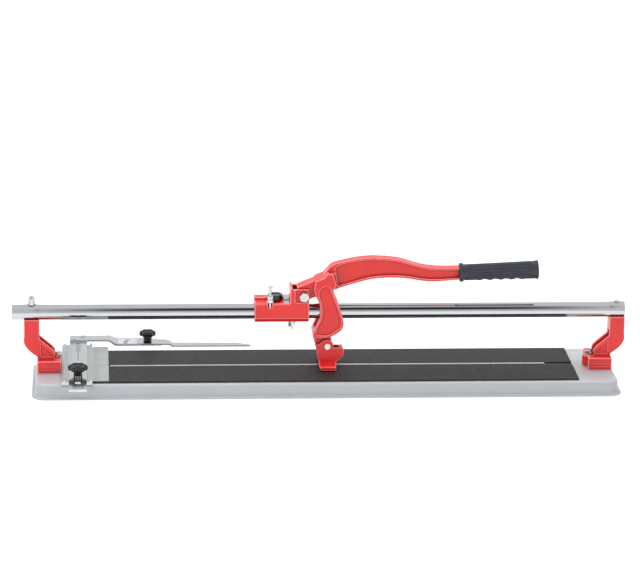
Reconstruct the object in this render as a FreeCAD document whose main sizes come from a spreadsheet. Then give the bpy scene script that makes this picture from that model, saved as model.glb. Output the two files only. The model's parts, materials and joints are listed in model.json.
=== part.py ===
import FreeCAD, Part
import math
import os
import re

from FreeCAD import Placement, Rotation, Vector

# Bench tile cutter with one guide rail.  Millimetres.  X runs along the rail with the
# handle towards +X, Y runs across the base with the operator on the -Y side, Z is up.
# The origin is the middle of the base on the bench top, straight under the rail.

doc = FreeCAD.newDocument("tile_cutter")
sizes = doc.addObject("Spreadsheet::Sheet", "sizes")

DIMENSIONS = {
    # pressed base
    "base_length": 884, "base_width": 186, "base_height": 22, "lip_width": 6,
    "lip_height": 3, "sheet_thick": 2, "corner_radius": 20,
    # rubber pads and breaking rib
    "pad_left": 351.9, "pad_right": 377, "pad_gap": 11, "pad_edge": 80, "pad_thick": 3,
    "rib_left": 326, "rib_right": 335, "rib_width": 5, "rib_height": 3.6,
    # rail and its brackets
    "rail_dia": 23, "rail_bore": 17, "rail_left": 472, "rail_right": 454,
    "rail_height": 109.5, "arm_outer": 454, "arm_inner": 431, "arm_width": 24,
    "foot_inner": 390, "foot_outer": 434, "foot_width": 56, "foot_height": 18.5,
    "bolt_dia": 8, "bolt_hex": 13, "nut_thick": 6.5, "bolt_place": 404.5,
    "rail_bolt_dia": 6, "rail_bolt_place": 442.5,
    # sliding block
    "block_left": 108.5, "block_right": 26.5, "block_width": 36, "block_bottom": 13.5,
    "block_top": 21.6, "bush_thick": 1.75, "ear_left": 55, "ear_top": 38, "ear_inner": 12.5,
    "knob_place": 77, "knob_dia": 22, "knob_thick": 7.2, "knob_stud": 6,
    "pivot_x": -34, "pivot_z": 26.6, "pivot_dia": 8,
    # lever, breaking foot and wheel
    "hub_width": 23, "arch_width": 16, "web_thick": 7, "fork_width": 40, "fork_gap": 25,
    "foot_pin_x": 1.9, "foot_pin_z": -50.9, "foot_pin_dia": 6, "tip_width": 21.6,
    "shoe_width": 76, "shoe_cheek": 35, "shoe_gap": 22.4,
    "wheel_dia": 16, "wheel_thick": 3, "wheel_bore": 5, "wheel_z": -67.5,
    "grip_start": 200.6, "grip_end": 320.6, "grip_dia": 27, "tang_dia": 12,
    # side fence
    "guide_left": 398.2, "guide_right": 352, "guide_front": 88, "guide_back": 104,
    "guide_floor": 5.2, "guide_top": 7.6, "bar_left": 387, "bar_right": 360,
    "bar_front": 138, "bar_back": 131, "bar_bottom": 27.5, "bar_thick": 3.5,
    "clamp_y": -66, "clamp_dia": 30, "fence_pivot_x": -267, "fence_pivot_y": 108,
    "fence_knob_dia": 25.5, "stud_dia": 6, "arm_thick": 3,
}
for row, (name, size) in enumerate(DIMENSIONS.items(), start=1):
    sizes.set("A%d" % row, name)
    sizes.set("B%d" % row, str(size))
    sizes.setAlias("B%d" % row, name)
doc.recompute()


def size(name):
    """One driving dimension, read from the sheet."""
    return float(sizes.get(name))


def formula(text):
    """An expression over the sheet's aliases."""
    return re.sub(r"[a-z_]+", lambda m: "sizes." + m.group(0) if m.group(0) in DIMENSIONS
                  else m.group(0), text)


def bind(thing, **formulas):
    """Bind properties to the sheet; x, y and z are the position."""
    for prop, text in formulas.items():
        path = "Placement.Base." + prop if prop in ("x", "y", "z") else prop
        thing.setExpression(path, formula(str(text)))
    return thing


def named(thing, label):
    thing.Label = label
    return thing


def box(name, length, width, height, x, y, z):
    """A box with its lowest corner at x, y, z."""
    made = doc.addObject("Part::Box", name)
    return bind(made, Length=length, Width=width, Height=height, x=x, y=y, z=z)


def rod(name, radius, height, x, y, z, along="z"):
    """A cylinder that starts at x, y, z and runs along +x, +y or +z."""
    made = doc.addObject("Part::Cylinder", name)
    turn = {"x": Rotation(Vector(0, 1, 0), 90), "y": Rotation(Vector(1, 0, 0), -90),
            "z": Rotation()}[along]
    made.Placement = Placement(Vector(), turn)
    return bind(made, Radius=radius, Height=height, x=x, y=y, z=z)


def hexagon(name, across, height, x, y, z, along="z", turn=0):
    """A hexagonal bar, for bolt heads and nuts; across is measured over the flats."""
    made = doc.addObject("Part::Prism", name)
    made.Polygon = 6
    lean = {"x": Rotation(Vector(0, 1, 0), 90), "y": Rotation(Vector(1, 0, 0), -90),
            "z": Rotation()}[along]
    made.Placement = Placement(Vector(), lean.multiply(Rotation(Vector(0, 0, 1), turn)))
    return bind(made, Circumradius="(%s) / sqrt(3)" % across, Height=height, x=x, y=y, z=z)


def join(name, shapes):
    made = doc.addObject("Part::MultiFuse", name)
    made.Shapes = shapes
    made.Refine = True
    return made


def cut(name, base, tool):
    """Base without tool, or without every tool in a list."""
    made = doc.addObject("Part::Cut", name)
    made.Base = base
    if isinstance(tool, list):
        tool = join(name + "_tools", tool) if len(tool) > 1 else tool[0]
    made.Tool = tool
    made.Refine = True
    return made


def common(name, one, other):
    made = doc.addObject("Part::Common", name)
    made.Base = one
    made.Tool = other
    made.Refine = True
    return made


def group(label, shapes):
    """Separate equal solids that share one label."""
    made = doc.addObject("Part::Compound", label)
    made.Links = shapes
    return named(made, label)


def rounded(name, base, radius, wanted):
    """Fillet the edges of base for which wanted(edge) is true."""
    doc.recompute()
    picked = [n for n, e in enumerate(base.Shape.Edges, start=1) if wanted(e)]
    made = doc.addObject("Part::Fillet", name)
    made.Base = base
    made.Edges = [(n, radius, radius) for n in picked]
    return made


def outline(parts):
    """Edges of a closed outline.  Each part is a list of points: two points make a
    straight line, more make a smooth curve through them."""
    edges = []
    for part in parts:
        points = [Vector(a, b, 0) for a, b in part]
        if len(points) == 2:
            edges.append(Part.LineSegment(points[0], points[1]))
        else:
            curve = Part.BSplineCurve()
            curve.interpolate(points)
            edges.append(curve)
    return edges


def polygon(points):
    """Straight sides through the points, closed."""
    return [[a, b] for a, b in zip(points, points[1:] + points[:1])]


def profile(name, plane, parts, length, offset=None):
    """A body padded evenly to both sides of an origin plane from a closed outline."""
    body = doc.addObject("PartDesign::Body", name)
    sketch = body.newObject("Sketcher::SketchObject", name + "_outline")
    origin = [f for f in body.Origin.OriginFeatures if f.Role == plane][0]
    sketch.AttachmentSupport = [(origin, "")]
    sketch.MapMode = "FlatFace"
    for edge in outline(parts):
        sketch.addGeometry(edge, False)
    pad = body.newObject("PartDesign::Pad", name + "_pad")
    pad.Profile = sketch
    pad.Midplane = True
    pad.setExpression("Length", formula(str(length)))
    return body


def near(value, target, slack=0.05):
    return abs(value - target) < slack


# ---------------------------------------------------------------- pressed steel base
def rounded_slab(name, inset, height, z):
    """A slab with the base's plan shape, its sides moved in by inset."""
    slab = box(name + "_block", "base_length - 2 * (%s)" % inset,
               "base_width - 2 * (%s)" % inset, height,
               "-base_length / 2 + %s" % inset, "-base_width / 2 + %s" % inset, z)
    return rounded(name, slab, size("corner_radius"),
                   lambda e: near(abs(e.tangentAt(e.FirstParameter).z), 1))


dish = rounded_slab("dish", "lip_width", "base_height", "0")
hollow = rounded_slab("hollow", "lip_width + sheet_thick", "base_height - sheet_thick + 1",
                      "-1")
flange = rounded_slab("flange", "0", "lip_height", "0")
wall_top = size("base_height")
lip_top = size("lip_height")
shell = join("shell", [dish, flange])
shell_soft = rounded("shell_soft", shell, 3.2, lambda e: near(e.BoundBox.ZMin, wall_top)
                     and near(e.BoundBox.ZMax, wall_top))
bolt_holes = [rod("bolt_hole_%s" % side, "bolt_dia / 2 + 0.1", "10",
                  "%s * bolt_place" % sign, "0", "base_height - 6")
              for side, sign in (("left", -1), ("right", 1))]
stud_hole = rod("stud_hole", "stud_dia / 2 + 0.2", "8", "-(bar_left + bar_right) / 2",
                "clamp_y", "base_height - 5")
base = cut("base_shell", shell_soft, [hollow, stud_hole] + bolt_holes)
named(base, "base_plate")

# a folded channel under the top carries the load of the breaking rib
web = box("channel_web", "2 * rib_right", "30", "2", "-rib_right", "-15",
          "base_height - sheet_thick - 2")
legs = [box("channel_leg_%d" % n, "2 * rib_right", "2", "base_height - sheet_thick - 4",
            "-rib_right", y, "2") for n, y in enumerate(("-15", "13"))]
named(join("channel", [web] + legs), "base_stiffener")
strip = box("strip_block", "2 * rib_right - 40", "34", "2", "-rib_right + 20", "-17", "0")
named(strip, "bench_strip")

# rubber feet pressed over the lip at the four corners, level with its lower edge
feet = []
for n, (sx, sy) in enumerate(((-1, -1), (1, -1), (-1, 1), (1, 1))):
    feet.append(rod("foot_%d" % n, "11", "base_height - sheet_thick",
                    "%d * (base_length / 2 - 40)" % sx, "%d * (base_width / 2 - 30)" % sy,
                    "0"))
group("rubber_feet", feet)

# ------------------------------------------------------------ rubber pads and the rib
front_pad = box("front_pad_block", "pad_left + pad_right", "pad_edge - pad_gap / 2",
                "pad_thick", "-pad_left", "-pad_edge", "base_height")
back_pad = box("back_pad_block", "pad_left + pad_right", "pad_edge - pad_gap / 2",
               "pad_thick", "-pad_left", "pad_gap / 2", "base_height")
named(front_pad, "front_pad")
named(back_pad, "back_pad")
rib_bar = box("rib_bar", "rib_left + rib_right", "rib_width", "rib_height", "-rib_left",
              "-rib_width / 2", "base_height")
rib_top = size("base_height") + size("rib_height")
rib = rounded("rib_rounded", rib_bar, 1.2, lambda e: near(e.BoundBox.ZMin, rib_top)
              and near(e.BoundBox.ZMax, rib_top))
named(rib, "breaking_rib")

# ------------------------------------------------------------------- rail and brackets
rail_tube = rod("rail_tube", "rail_dia / 2", "rail_left + rail_right", "-rail_left", "0",
                "rail_height", "x")
rail_inside = rod("rail_inside", "rail_bore / 2", "rail_left + rail_right + 2",
                  "-rail_left - 1", "0", "rail_height", "x")
rail_holes = [rod("rail_hole_%s" % side, "rail_bolt_dia / 2 + 0.05", "rail_dia + 4",
                  "%s * rail_bolt_place" % sign, "0", "rail_height - rail_dia / 2 - 2")
              for side, sign in (("left", -1), ("right", 1))]
rail = cut("rail", rail_tube, [rail_inside] + rail_holes)
named(rail, "guide_rail")

RAIL = size("rail_height")
TOP = size("base_height")
ARM_OUT = size("arm_outer")
ARM_IN = size("arm_inner")
SADDLE = RAIL - 8.8


def bracket(side, sign):
    """A cast bracket: an upright arm with a saddle for the rail, a curved outer side,
    a sloping gusset and a wide foot with a round boss for its bolt."""
    def s(points):
        return [(sign * a, b) for a, b in points]

    foot_top = TOP + size("foot_height")
    outer_curve = [(ARM_OUT, 74), (ARM_OUT - 0.8, 62), (ARM_OUT - 4.5, 56),
                   (ARM_OUT - 11, 49.5), (size("foot_outer"), foot_top + 2.5)]
    side_view = [s(p) for p in (
        [(ARM_IN, TOP), (ARM_IN, SADDLE)], [(ARM_IN, SADDLE), (ARM_OUT, SADDLE)],
        [(ARM_OUT, SADDLE), outer_curve[0]], outer_curve,
        [outer_curve[-1], (size("foot_outer"), TOP)],
        [(size("foot_outer"), TOP), (ARM_IN, TOP)])]
    arm = profile("arm_%s" % side, "XZ_Plane", side_view, "arm_width")
    gusset_line = s([(ARM_IN + 1, TOP), (ARM_IN + 1, 72), (ARM_IN, 71), (412, 55),
                     (408, 50), (408, TOP)])
    gusset = profile("gusset_%s" % side, "XZ_Plane", polygon(gusset_line), "arm_width")
    pocket_line = s([(ARM_IN - 2.2, 43.5), (ARM_IN - 2.2, 64.5), (411.5, 46.5),
                     (411.5, 43.5)])
    pocket = profile("pocket_%s" % side, "XZ_Plane", polygon(pocket_line), "60")
    core = profile("pocket_core_%s" % side, "XZ_Plane",
                   polygon(s([(440, 30), (440, 80), (405, 80), (405, 30)])), "arm_width - 2.4")
    hollows = cut("gusset_hollow_%s" % side, pocket, core)
    channel_line = s([(443, 79), (443, 62), (434, 49), (428, 44.5), (398, 44.5), (398, 79)])
    channel = profile("channel_%s" % side, "XZ_Plane", polygon(channel_line),
                      "arm_width - 8")
    low = min(sign * size("foot_inner"), sign * size("foot_outer"))
    foot = box("foot_block_%s" % side, "foot_outer - foot_inner - 8", "foot_width",
               "foot_height", str(low + (8 if sign > 0 else 0)), "-foot_width / 2",
               "base_height")
    boss = rod("foot_boss_%s" % side, "12", "foot_height - 2", "%d * bolt_place" % sign, "0",
               "base_height")
    boss_front = box("boss_front_%s" % side, "12", "24", "foot_height - 2",
                     "%d * bolt_place - 6" % sign, "-12",
                     "base_height")
    whole = join("bracket_%s_all" % side, [arm, gusset, foot, boss, boss_front])
    trough = rod("saddle_%s" % side, "rail_dia / 2", "80",
                 "%d * arm_outer - 40" % sign, "0", "rail_height", "x")
    seat = rod("bolt_seat_%s" % side, "9", "40", "%d * bolt_place" % sign, "0",
               "base_height + foot_height - 3")
    hole = rod("bracket_hole_%s" % side, "bolt_dia / 2 + 0.1", "30",
               "%d * bolt_place" % sign, "0", "base_height - 2")
    stud = rod("stud_bore_%s" % side, "rail_bolt_dia / 2", "60",
               "%d * rail_bolt_place" % sign, "0", "rail_height - 50")
    spare = box("inner_trim_%s" % side, "40", "120", "60",
                "-guide_left - 0.4" if sign < 0 else "foot_inner - 40", "-60", "base_height - 1")
    grooves = []
    for n, (z, face) in enumerate(((5.5, -1), (11, -1), (5.5, 1), (11, 1))):
        edge = "-foot_width / 2 - 0.2" if face < 0 else "foot_width / 2 - 0.8"
        grooves.append(box("foot_groove_%s_%d" % (side, n), "40", "1", "1.3",
                           str(low + (5 if sign < 0 else 11)), edge,
                           "base_height + %s" % z))
    carved = cut("bracket_%s_cut" % side, whole,
                 [trough, seat, hole, stud, hollows, channel, spare] + grooves)
    named(carved, "%s_bracket" % side)
    return carved


bracket("left", -1)
bracket("right", 1)

SIDES = (("left", -1), ("right", 1))
SEAT = "base_height + foot_height - 3"
washers, bolts, nuts = [], [], []
for side, sign in SIDES:
    place = "%d * bolt_place" % sign
    ring = rod("washer_disc_%s" % side, "8.4", "1.6", place, "0", SEAT)
    bore = rod("washer_bore_%s" % side, "bolt_dia / 2 + 0.1", "4", place, "0", SEAT + " - 1")
    washers.append(cut("washer_%s" % side, ring, bore))
    head = hexagon("bolt_head_%s" % side, "bolt_hex", "5.5", place, "0", SEAT + " + 1.6",
                   turn=12)
    shank = rod("bolt_shank_%s" % side, "bolt_dia / 2", "foot_height + 9", place, "0",
                SEAT + " + 2 - foot_height - 9")
    tip = rod("bolt_point_%s" % side, "3", "3.2", place, "0", SEAT + " + 7.1")
    bolts.append(join("bolt_%s" % side, [head, shank, tip]))
    block = hexagon("nut_block_%s" % side, "bolt_hex", "nut_thick", place, "0",
                    "base_height - sheet_thick - nut_thick")
    thread = rod("nut_thread_%s" % side, "bolt_dia / 2", "20", place, "0", "5")
    nuts.append(cut("nut_%s" % side, block, thread))
group("bracket_washers", washers)
group("bracket_bolts", bolts)
group("bracket_nuts", nuts)

# saddle caps over the rail ends, the left one under a domed nut, the right one plain
caps = []
for side, sign in SIDES:
    cap_ring = rod("cap_ring_%s" % side, "rail_dia / 2 + 0.7", "arm_outer - arm_inner",
                   "%s" % (-ARM_OUT if sign < 0 else ARM_IN), "0", "rail_height", "x")
    cap_core = rod("cap_core_%s" % side, "rail_dia / 2", "60", "%d * arm_outer - 30" % sign,
                   "0", "rail_height", "x")
    cap_low = box("cap_low_%s" % side, "60", "60", "40", "%d * arm_outer - 30" % sign, "-30",
                  "rail_height - 40 + 4")
    cap_bore = rod("cap_bore_%s" % side, "rail_bolt_dia / 2 + 0.1", "30",
                   "%d * rail_bolt_place" % sign, "0", "rail_height")
    caps.append(cut("cap_%s" % side, cap_ring, [cap_core, cap_low, cap_bore]))
group("rail_caps", caps)
CAP = "rail_height + rail_dia / 2 + 0.7"
stud_left = rod("rail_stud_left", "rail_bolt_dia / 2", "52", "-rail_bolt_place", "0",
                "rail_height - 28")
stud_right = rod("rail_stud_right", "rail_bolt_dia / 2", "rail_dia / 2 + 30.5",
                 "rail_bolt_place", "0", "rail_height - 28")
screw_head = rod("rail_screw_head", "4.4", "1.0", "rail_bolt_place", "0", CAP)
group("rail_studs", [stud_left, join("rail_screw", [stud_right, screw_head])])
nut_skirt = hexagon("cap_nut_skirt", "10.4", "5", "-rail_bolt_place", "0", CAP)
nut_tube = rod("cap_nut_tube", "4.9", "6.5", "-rail_bolt_place", "0", CAP + " + 2")
nut_dome = doc.addObject("Part::Sphere", "cap_nut_dome")
bind(nut_dome, Radius="4.9", x="-rail_bolt_place", y="0", z=CAP + " + 8.5")
nut_bore = rod("cap_nut_bore", "rail_bolt_dia / 2", "30", "-rail_bolt_place", "0",
               "rail_height - 6")
cap_nut = cut("cap_nut_bored", join("cap_nut_solid", [nut_skirt, nut_tube, nut_dome]), nut_bore)
named(cap_nut, "rail_cap_nut")

# ------------------------------------------------------------------------ side fence
guide_floor = box("guide_plate", "guide_left - guide_right", "guide_front + guide_back",
                  "guide_floor", "-guide_left", "-guide_front", "base_height")
guide_sides = [box("guide_side_%d" % n, "3.5", "guide_front + guide_back", "guide_top", x,
                   "-guide_front", "base_height")
               for n, x in enumerate(("-guide_left + 3", "-guide_right - 3.5"))]
guide_bore = rod("guide_bore", "stud_dia / 2", "30", "-(bar_left + bar_right) / 2",
                 "clamp_y", "base_height - 2")
guide = cut("guide_all", join("guide_solid", [guide_floor] + guide_sides), guide_bore)
named(guide, "fence_guide")

scale_block = box("scale_sheet", "guide_right - 327.5", "79 + 98", "1", "-guide_right", "-79",
                  "base_height + pad_thick")
named(scale_block, "scale_plate")

BAR_MID = "-(bar_left + bar_right) / 2"
bar = box("bar_block", "bar_left - bar_right", "bar_front + bar_back", "bar_thick",
          "-bar_left", "-bar_front", "bar_bottom")
slot = box("bar_slot", "stud_dia + 2", "98", "8", BAR_MID + " - (stud_dia + 2) / 2", "-110",
           "bar_bottom - 2")
peep = rod("bar_peep", "2.6", "8", BAR_MID, "98", "bar_bottom - 2")
RIVETS = ((-381, 112), (-366, 126))
bar_drills = [rod("bar_drill_%d" % n, "2", "20", str(x), str(y), "20")
              for n, (x, y) in enumerate(RIVETS)]
named(cut("bar_cut", bar, [slot, peep] + bar_drills), "fence_bar")


def star_knob(name, radius, head_thick, stem_radius, height, x, y, z, lobes=6):
    """A moulded clamping knob: a stem, a lobed head with a dished top."""
    head_z = "%s + %s" % (z, height - head_thick)
    disc = rod(name + "_disc", radius, str(head_thick), x, y, head_z)
    stem = rod(name + "_stem", str(stem_radius), str(height - head_thick), x, y, z)
    cone = doc.addObject("Part::Cone", name + "_neck")
    bind(cone, Radius1=str(stem_radius), Radius2="(%s) * 0.75" % radius, Height="5.5", x=x, y=y,
         z=head_z + " - 5.5")
    bites = []
    doc.recompute()
    reach = disc.Radius.Value
    cx, cy = disc.Placement.Base.x, disc.Placement.Base.y
    for n in range(lobes):
        angle = 2 * math.pi * (n + 0.5) / lobes
        bites.append(rod(name + "_bite_%d" % n, str(reach * 0.34), "40",
                         str(cx + 1.16 * reach * math.cos(angle)),
                         str(cy + 1.16 * reach * math.sin(angle)), z))
    dish_cut = rod(name + "_dish", "(%s) * 0.62" % radius, "4", x, y,
                   "%s + %s" % (z, height - 1.2))
    solid = join(name + "_solid", [disc, stem, cone])
    core = rod(name + "_core", "stud_dia / 2 + 0.05", "60", x, y, "%s - 1" % z)
    core_top = rod(name + "_core_keep", "60", "60", x, y, "%s + %s" % (z, height - 3.2))
    drill = cut(name + "_drill", core, core_top)
    return cut(name + "_cut", solid, bites + [dish_cut, drill])


CLAMP_Z = "bar_bottom + bar_thick + 0.3"
clamp = star_knob("clamp", "clamp_dia / 2", 5.6, 5.6, 15.5, BAR_MID, "clamp_y", CLAMP_Z)
named(clamp, "clamp_knob")
clamp_rod = rod("clamp_rod", "stud_dia / 2", "bar_bottom + bar_thick + 12 - base_height + 7",
                BAR_MID, "clamp_y", "base_height - 7")
clamp_anchor = hexagon("clamp_anchor", "10", "5", BAR_MID, "clamp_y",
                       "base_height - sheet_thick - 5")
named(join("clamp_stud_all", [clamp_rod, clamp_anchor]), "clamp_stud")

# fixed part of the fence arm: it lies on the bar, steps down behind the base and widens
ARM_TOP = size("bar_bottom") + size("bar_thick") + size("arm_thick")
THICK = size("arm_thick")
LOW = 25.6
arm_line = [(-386, ARM_TOP), (-325, ARM_TOP), (-315, LOW + THICK), (-238, LOW + THICK),
            (-238, LOW), (-316.5, LOW), (-326.5, ARM_TOP - THICK), (-386, ARM_TOP - THICK)]
arm_strip = profile("arm_strip", "XZ_Plane", polygon(arm_line), "50")
bind(arm_strip, y="118")
PX = size("fence_pivot_x")
PY = size("fence_pivot_y")
arm_plan = [(-386, 107), (-330, 107), (-314, 101), (PX + 20, 101), (PX + 26, 106),
            (PX + 26, 113), (PX + 16, 128), (PX + 4, 134), (-300, 136), (-314, 136),
            (-330, 131), (-386, 131)]
arm_shape = profile("arm_shape", "XY_Plane", polygon(arm_plan), "200")
arm_drill = rod("arm_drill", "stud_dia / 2", "20", "fence_pivot_x", "fence_pivot_y", "20")
rivet_drills, rivets = [], []
for n, (x, y) in enumerate(RIVETS):
    rivet_drills.append(rod("arm_drill_%d" % n, "2", "30", str(x), str(y), "20"))
    shank = rod("rivet_shank_%d" % n, "2", "bar_thick + arm_thick", str(x), str(y),
                "bar_bottom")
    head = rod("rivet_head_%d" % n, "3.6", "1", str(x), str(y),
               "bar_bottom + bar_thick + arm_thick")
    rivets.append(join("rivet_%d" % n, [shank, head]))
group("arm_rivets", rivets)
arm_sink = rod("arm_sink", "6", "11.6", "fence_pivot_x", "fence_pivot_y", str(LOW - 10))
arm_base = cut("arm_base_cut", common("arm_base_all", arm_strip, arm_shape),
               [arm_drill, arm_sink] + rivet_drills)
named(arm_base, "fence_arm")

# swinging pointer: flat around the pivot, stepped down to the level of the pads
P_TOP = LOW + THICK + 0.3
swing_line = [(PX - 18, P_TOP), (PX + 32, P_TOP), (PX + 38, LOW), (-108, LOW),
              (-108, LOW + 2), (PX + 39, LOW + 2), (PX + 33, P_TOP + 2), (PX - 18, P_TOP + 2)]
swing_strip = profile("swing_strip", "XZ_Plane", polygon(swing_line), "40")
bind(swing_strip, y="106")
swing_plan = [(PX - 12, 96), (PX + 36, 94), (-110, 94), (-108, 96), (-108, 99), (-130, 110),
              (PX + 40, 112.5), (PX + 26, 119), (PX - 4, 121), (PX - 14, 116), (PX - 15, 100)]
swing_shape = profile("swing_shape", "XY_Plane", polygon(swing_plan), "200")
swing_drill = rod("swing_drill", "stud_dia / 2 + 0.06", "20", "fence_pivot_x",
                  "fence_pivot_y", "20")
pointer = cut("pointer_cut", common("pointer_all", swing_strip, swing_shape), swing_drill)
named(pointer, "pointer_arm")
pivot_stud_head = rod("pivot_stud_head", "6", "1.6", "fence_pivot_x", "fence_pivot_y", str(LOW))
pivot_stud_rod = rod("pivot_stud_rod", "stud_dia / 2", "18", "fence_pivot_x",
                     "fence_pivot_y", str(LOW))
named(join("pivot_stud_all", [pivot_stud_head, pivot_stud_rod]), "fence_stud")
knob_z = P_TOP + 2 + 0.3
fence_knob = star_knob("fence_knob_body", "fence_knob_dia / 2", 5.2, 5.4, 16.5,
                       "fence_pivot_x", "fence_pivot_y", str(knob_z))
named(fence_knob, "fence_knob")

# --------------------------------------------------------------------- sliding block
BLOCK_W = size("block_width")
half = BLOCK_W / 2
low_z = RAIL - size("block_bottom")
top_z = RAIL + size("block_top")
section = [(-half, low_z + 6.5), (-half + 6, low_z), (half - 6, low_z), (half, low_z + 6.5),
           (half, top_z - 2.5), (half - 2.5, top_z), (0.8, top_z), (0, top_z - 0.8),
           (0, top_z - 3.4), (-half + 1.4, top_z - 4.9), (-half, top_z - 6.2)]
block_bar = profile("block_bar", "YZ_Plane", polygon(section), "block_left - block_right")
bind(block_bar, x="-(block_left + block_right) / 2")
ears_box = box("ears_box", "ear_left - block_right", "block_width", "ear_top - block_top + 12",
               "-ear_left", "-block_width / 2", "rail_height + block_top - 12")
ears_gap = box("ears_gap", "ear_left - block_right + 20", "2 * ear_inner", "60",
               "-ear_left + 3.4", "-ear_inner", "rail_height + block_top - 5")
stop_wall = box("stop_wall", "3.4", "block_width", "41 - block_top + 8", "-ear_left",
                "-block_width / 2", "rail_height + block_top - 8")
ears = cut("ears_pair", join("ears_and_wall", [ears_box, stop_wall]), ears_gap)
hub_slot = box("hub_slot", "30", "2 * ear_inner", "60", "-48", "-ear_inner",
               "rail_height + 13.6")
rail_way = rod("rail_way", "rail_dia / 2 + bush_thick", "200", "-180", "0", "rail_height", "x")
KNOB_SEAT = "rail_height + 18.3"
knob_recess = rod("knob_recess", "knob_dia / 2 + 1.4", "20", "-knob_place", "0", KNOB_SEAT)
knob_bore = rod("knob_bore", "knob_stud / 2 + 0.06", "12", "-knob_place", "0",
                "rail_height + 8")
pad_bore = rod("pad_bore", "4", "6", "-knob_place", "0", "rail_height + 8")
SCREW_X, SCREW_Y = "-85.2", "-15"
NUT_SEAT = "rail_height + 17.8"
screw_pad = box("screw_pad", "11", "block_width / 2 - 9", "5", SCREW_X + " - 5.5",
                "-block_width / 2", NUT_SEAT + " - 5")
screw_bore = rod("screw_bore", "2.16", "14", SCREW_X, SCREW_Y, "rail_height + 7.5")
screw_groove = join("screw_groove", [
    rod("groove_round", "3.3", "20", SCREW_X, SCREW_Y, "rail_height + 10.4"),
    box("groove_mouth", "6.6", "6", "20", SCREW_X + " - 3.3", SCREW_Y + " - 6",
        "rail_height + 10.4")])
pivot_bore = rod("pivot_bore", "pivot_dia / 2", "60", "pivot_x", "-30",
                 "rail_height + pivot_z", "y")
ear_recess = box("ear_recess", "21", "3", "19", "-47", "-block_width / 2 - 1",
                 "rail_height + 18")
bolt_bore = rod("lower_bore", "3", "6", "-51.2", "0", "rail_height - block_bottom - 1")
block_all = join("block_all", [block_bar, ears, screw_pad])
block = cut("block_cut", block_all, [hub_slot, rail_way, knob_recess, knob_bore, pad_bore,
                                     screw_bore, screw_groove, pivot_bore, ear_recess,
                                     bolt_bore])
named(block, "carriage_block")

bushes = []
for n, x in enumerate((-size("block_left") + 2, -46.0)):
    shell_ring = rod("bush_shell_%d" % n, "rail_dia / 2 + bush_thick", "17.5", str(x), "0",
                     "rail_height", "x")
    bush_bore = rod("bush_bore_%d" % n, "rail_dia / 2 + 0.08", "30", str(x - 5), "0",
                    "rail_height", "x")
    bushes.append(cut("bush_%d" % n, shell_ring, bush_bore))
hub_clear = box("bush_hub_clear", "40", "2 * ear_inner", "20", "-48", "-ear_inner",
                "rail_height + 13")
bushes[1] = cut("bush_right", bushes[1], hub_clear)
group("slide_bushes", bushes)

# knob, stud and nylon pad that take up the play on the rail
knob_rim = rod("tension_rim", "knob_dia / 2", "knob_thick", "-knob_place", "0",
               KNOB_SEAT + " + 1.5")
knob_neck = rod("tension_neck", "6", "1.3", "-knob_place", "0", KNOB_SEAT + " + 0.3")
knob_dish = rod("tension_dish", "7.5", "2", "-knob_place", "0",
                KNOB_SEAT + " + 1.5 + knob_thick - 0.8")
knob_hole = rod("tension_hole", "knob_stud / 2", "5.3", "-knob_place", "0", KNOB_SEAT)
named(cut("tension_cut", join("tension_all", [knob_rim, knob_neck]), [knob_dish, knob_hole]),
      "tension_knob")
named(rod("tension_rod", "knob_stud / 2", "9.5", "-knob_place", "0", "rail_height + 14.1"),
      "tension_stud")
named(rod("pad_plug", "4", "2.3", "-knob_place", "0", "rail_height + 11.6"), "pressure_pad")

screw = rod("adjust_rod", "2.1", "33", SCREW_X, SCREW_Y, "rail_height + 7.5")
screw_top = rod("adjust_head", "3.6", "2", SCREW_X, SCREW_Y, "rail_height + 40.4")
named(join("adjust_all", [screw, screw_top]), "adjusting_screw")
nut_body = hexagon("adjust_nut_body", "8.4", "10.3", SCREW_X, SCREW_Y, NUT_SEAT, turn=30)
nut_hole = rod("adjust_nut_hole", "2.16", "30", SCREW_X, SCREW_Y, "rail_height + 12")
nut_collar = rod("adjust_nut_collar", "6", "0.9", SCREW_X, SCREW_Y, NUT_SEAT + " + 4.8")
nut_waist = rod("adjust_nut_waist", "3.7", "0.9", SCREW_X, SCREW_Y, NUT_SEAT + " + 4.8")
named(cut("adjust_nut_all", nut_body, [nut_hole, cut("nut_neck", nut_collar, nut_waist)]),
      "adjusting_nut")

LOWER = "rail_height - block_bottom"
lock = hexagon("lock_nut_body", "10", "3.6", "-51.2", "0", LOWER + " - 3.6")
lock_hole = rod("lock_nut_hole", "3", "20", "-51.2", "0", LOWER + " - 10")
named(cut("lock_nut_all", lock, lock_hole), "lower_nut")
lower_head = hexagon("lower_head", "10", "6", "-51.2", "0", LOWER + " - 9.8", turn=14)
lower_rod = rod("lower_rod", "3", "9.8 + 0.2", "-51.2", "0", LOWER + " - 9.8")
lower_tip = rod("lower_tip", "2", "5", "-51.2", "0", LOWER + " - 14.4")
named(join("lower_bolt_all", [lower_head, lower_rod, lower_tip]), "lower_bolt")

PIVOT_Z = "rail_height + pivot_z"
pivot_rod = rod("pivot_rod", "pivot_dia / 2", "block_width + 6", "pivot_x",
                "-block_width / 2 + 2", PIVOT_Z, "y")
pivot_head = hexagon("pivot_head", "bolt_hex", "5.3", "pivot_x",
                     "-block_width / 2 + 2 - 5.3", PIVOT_Z, "y", turn=10)
pivot_cap = rod("pivot_cap", "6.2", "5.8", "pivot_x", "-block_width / 2 + 2 - 5.8", PIVOT_Z, "y")
named(join("pivot_bolt_all", [pivot_rod, pivot_head, pivot_cap]), "pivot_bolt")
pivot_nut_body = hexagon("pivot_nut_body", "bolt_hex", "6.5", "pivot_x", "block_width / 2",
                         PIVOT_Z, "y")
pivot_nut_hole = rod("pivot_nut_hole", "pivot_dia / 2", "30", "pivot_x", "0", PIVOT_Z, "y")
named(cut("pivot_nut_all", pivot_nut_body, pivot_nut_hole), "pivot_nut")

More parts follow.
